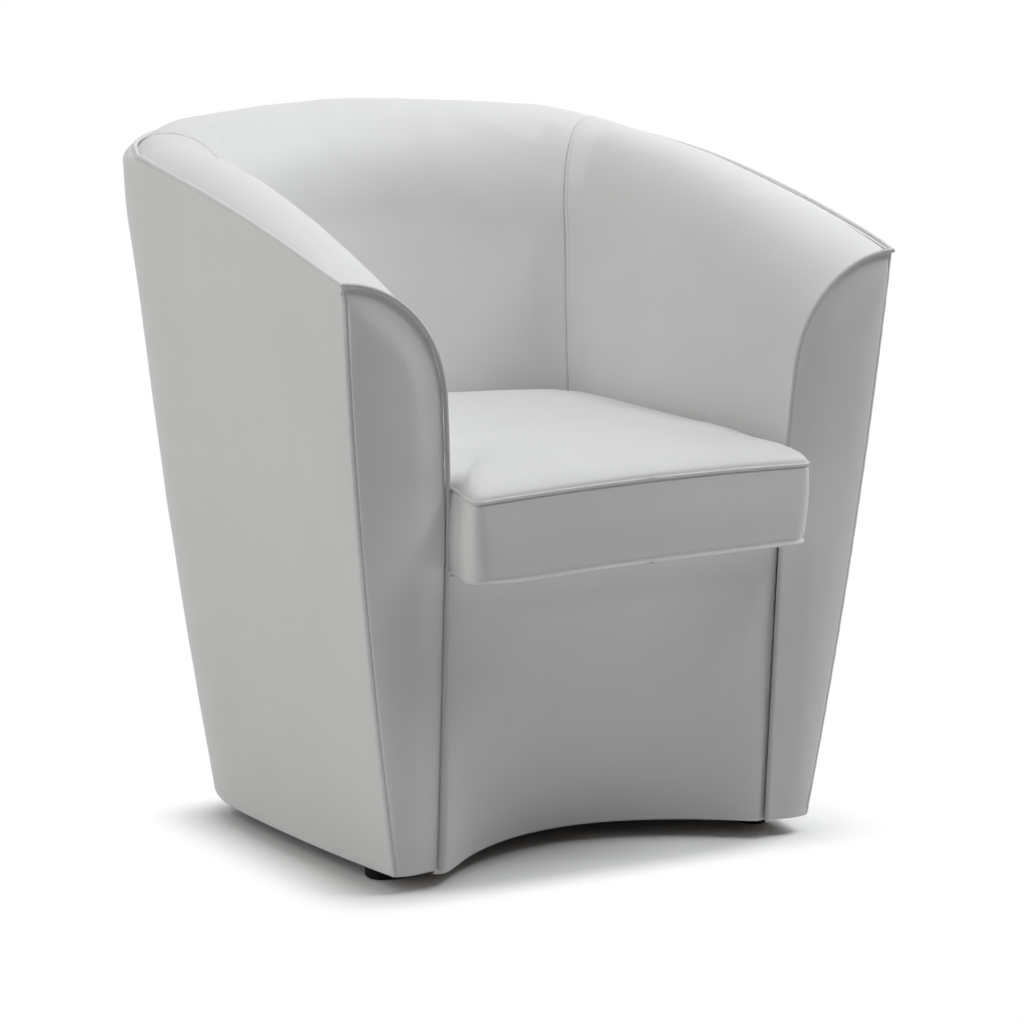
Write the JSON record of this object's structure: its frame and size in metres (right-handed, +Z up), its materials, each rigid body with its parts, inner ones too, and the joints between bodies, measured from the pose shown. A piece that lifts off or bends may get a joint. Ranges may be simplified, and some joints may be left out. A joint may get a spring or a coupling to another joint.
{
  "type": "tub armchair",
  "caption": "Tub armchair with arms and back in one rolled sweep, piped edges, a loose box seat cushion, a drawn-in front panel and low round glides.",
  "frame": {"origin": "on the floor, below the middle of the chair front to back and side to side", "axes": "+Z up, -Y the front of the seat, +X the left hand of a person sitting in it"},
  "size_m": [0.704, 0.7334, 0.8096],
  "materials": {
    "leather": "smooth pale grey-white leather with a soft sheen",
    "foam": "open cell foam and wadding",
    "plywood": "bare bent plywood",
    "timber": "bare hardwood",
    "webbing": "woven webbing and lining",
    "glide_plastic": "black moulded plastic",
    "steel": "zinc plated",
    "zip_metal": "bright metal"
  },
  "bodies": {
    "chair": {"left_outer_cover": "leather", "right_outer_cover": "leather", "outer_back_cover": "leather", "left_facing_cover": "leather", "right_facing_cover": "leather", "left_arm_cover": "leather", "right_arm_cover": "leather", "inner_back_cover": "leather", "front_panel_cover": "leather", "left_facing_welt": "leather", "right_facing_welt": "leather", "top_welt": "leather", "left_arm_foam": "foam", "right_arm_foam": "foam", "back_foam": "foam", "left_side_padding": "foam", "right_side_padding": "foam", "outer_back_padding": "foam", "left_facing_padding": "foam", "right_facing_padding": "foam", "front_panel_padding": "foam", "left_outer_board": "plywood", "right_outer_board": "plywood", "outer_back_board": "plywood", "left_inner_board": "plywood", "right_inner_board": "plywood", "inner_back_board": "plywood", "front_panel_board": "plywood", "left_arm_front": "plywood", "right_arm_front": "plywood", "left_arm_rail": "timber", "right_arm_rail": "timber", "back_top_rail": "plywood", "left_base_rail": "timber", "right_base_rail": "timber", "rear_base_rail": "timber", "front_base_rail": "timber", "left_rear_post": "timber", "right_rear_post": "timber", "back_studs": "timber", "left_seat_rail": "timber", "right_seat_rail": "timber", "front_seat_rail": "timber", "rear_seat_rail": "timber", "crosswise_straps": "webbing", "lengthwise_straps": "webbing", "seat_deck": "webbing", "dust_cover": "webbing", "front_left_glide": "glide_plastic", "front_right_glide": "glide_plastic", "rear_left_glide": "glide_plastic", "rear_right_glide": "glide_plastic", "glide_studs": "steel", "tee_nuts": "steel"},
    "cushion": {"cushion_top_panel": "leather", "cushion_side_band": "leather", "cushion_bottom_panel": "leather", "cushion_core": "foam"},
    "zip": {"zip_slider": "zip_metal"}
  },
  "joints": [
    {"name": "cushion_lift", "type": "slide", "parent": "chair", "child": "cushion", "axis": [0, 0, 1], "range_m": [0, 0.48]},
    {"name": "zip_run", "type": "hinge", "parent": "cushion", "child": "zip", "pos_m": [0, -0.15336, 0.3952], "axis": [0, 0, 1], "range_deg": [-44, 0]}
  ]
}
